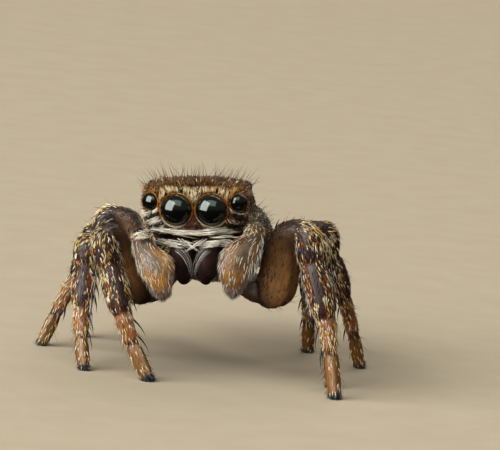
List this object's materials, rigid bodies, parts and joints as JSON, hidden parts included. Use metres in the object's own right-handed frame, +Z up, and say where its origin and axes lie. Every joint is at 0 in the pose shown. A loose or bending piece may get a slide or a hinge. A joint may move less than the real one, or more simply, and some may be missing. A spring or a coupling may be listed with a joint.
{
  "type": "jumping spider",
  "caption": "Life-size still model of a jumping spider standing on its legs with palps lowered and large front eyes forward, as a museum shows it.",
  "frame": {"origin": "on the floor, under the middle of the bounding box", "axes": "+Z up, -Y the way the spider faces, +X its own left side"},
  "size_m": [0.008, 0.0088, 0.0047],
  "materials": {
    "body_coat": "short scale hairs, brown with gold and cream",
    "leg_coat": "dark cuticle with rows of cream and rust scale hairs",
    "foot_coat": "honey-tan cuticle, satin, with a slate claw tuft",
    "palp_coat": "honey cuticle under sparse white hairs",
    "cuticle": "dark brown, satin",
    "jaw_cuticle": "red-black, glossy",
    "eye_lens": "black, mirror-smooth"
  },
  "bodies": {
    "root": {"cephalothorax": "body_coat", "eye_left_front_middle": "eye_lens", "eye_left_front_side": "eye_lens", "eye_left_small_side": "eye_lens", "eye_left_rear_side": "eye_lens", "eye_right_front_middle": "eye_lens", "eye_right_front_side": "eye_lens", "eye_right_small_side": "eye_lens", "eye_right_rear_side": "eye_lens", "abdomen": "body_coat", "pedicel": "cuticle", "spinnerets": "cuticle", "chelicera_left": "jaw_cuticle", "chelicera_right": "jaw_cuticle", "palp_left_arm": "palp_coat", "palp_left_blade": "palp_coat", "palp_right_arm": "palp_coat", "palp_right_blade": "palp_coat", "leg_left_1_coxa": "cuticle", "leg_left_1_femur": "cuticle", "leg_left_1_tibia": "leg_coat", "leg_left_1_foot": "foot_coat", "leg_left_2_coxa": "cuticle", "leg_left_2_femur": "cuticle", "leg_left_2_tibia": "leg_coat", "leg_left_2_foot": "foot_coat", "leg_left_3_coxa": "cuticle", "leg_left_3_femur": "cuticle", "leg_left_3_tibia": "leg_coat", "leg_left_3_foot": "foot_coat", "leg_left_4_coxa": "cuticle", "leg_left_4_femur": "cuticle", "leg_left_4_tibia": "leg_coat", "leg_left_4_foot": "foot_coat", "leg_right_1_coxa": "cuticle", "leg_right_1_femur": "cuticle", "leg_right_1_tibia": "leg_coat", "leg_right_1_foot": "foot_coat", "leg_right_2_coxa": "cuticle", "leg_right_2_femur": "cuticle", "leg_right_2_tibia": "leg_coat", "leg_right_2_foot": "foot_coat", "leg_right_3_coxa": "cuticle", "leg_right_3_femur": "cuticle", "leg_right_3_tibia": "leg_coat", "leg_right_3_foot": "foot_coat", "leg_right_4_coxa": "cuticle", "leg_right_4_femur": "cuticle", "leg_right_4_tibia": "leg_coat", "leg_right_4_foot": "foot_coat"}
  },
  "joints": []
}
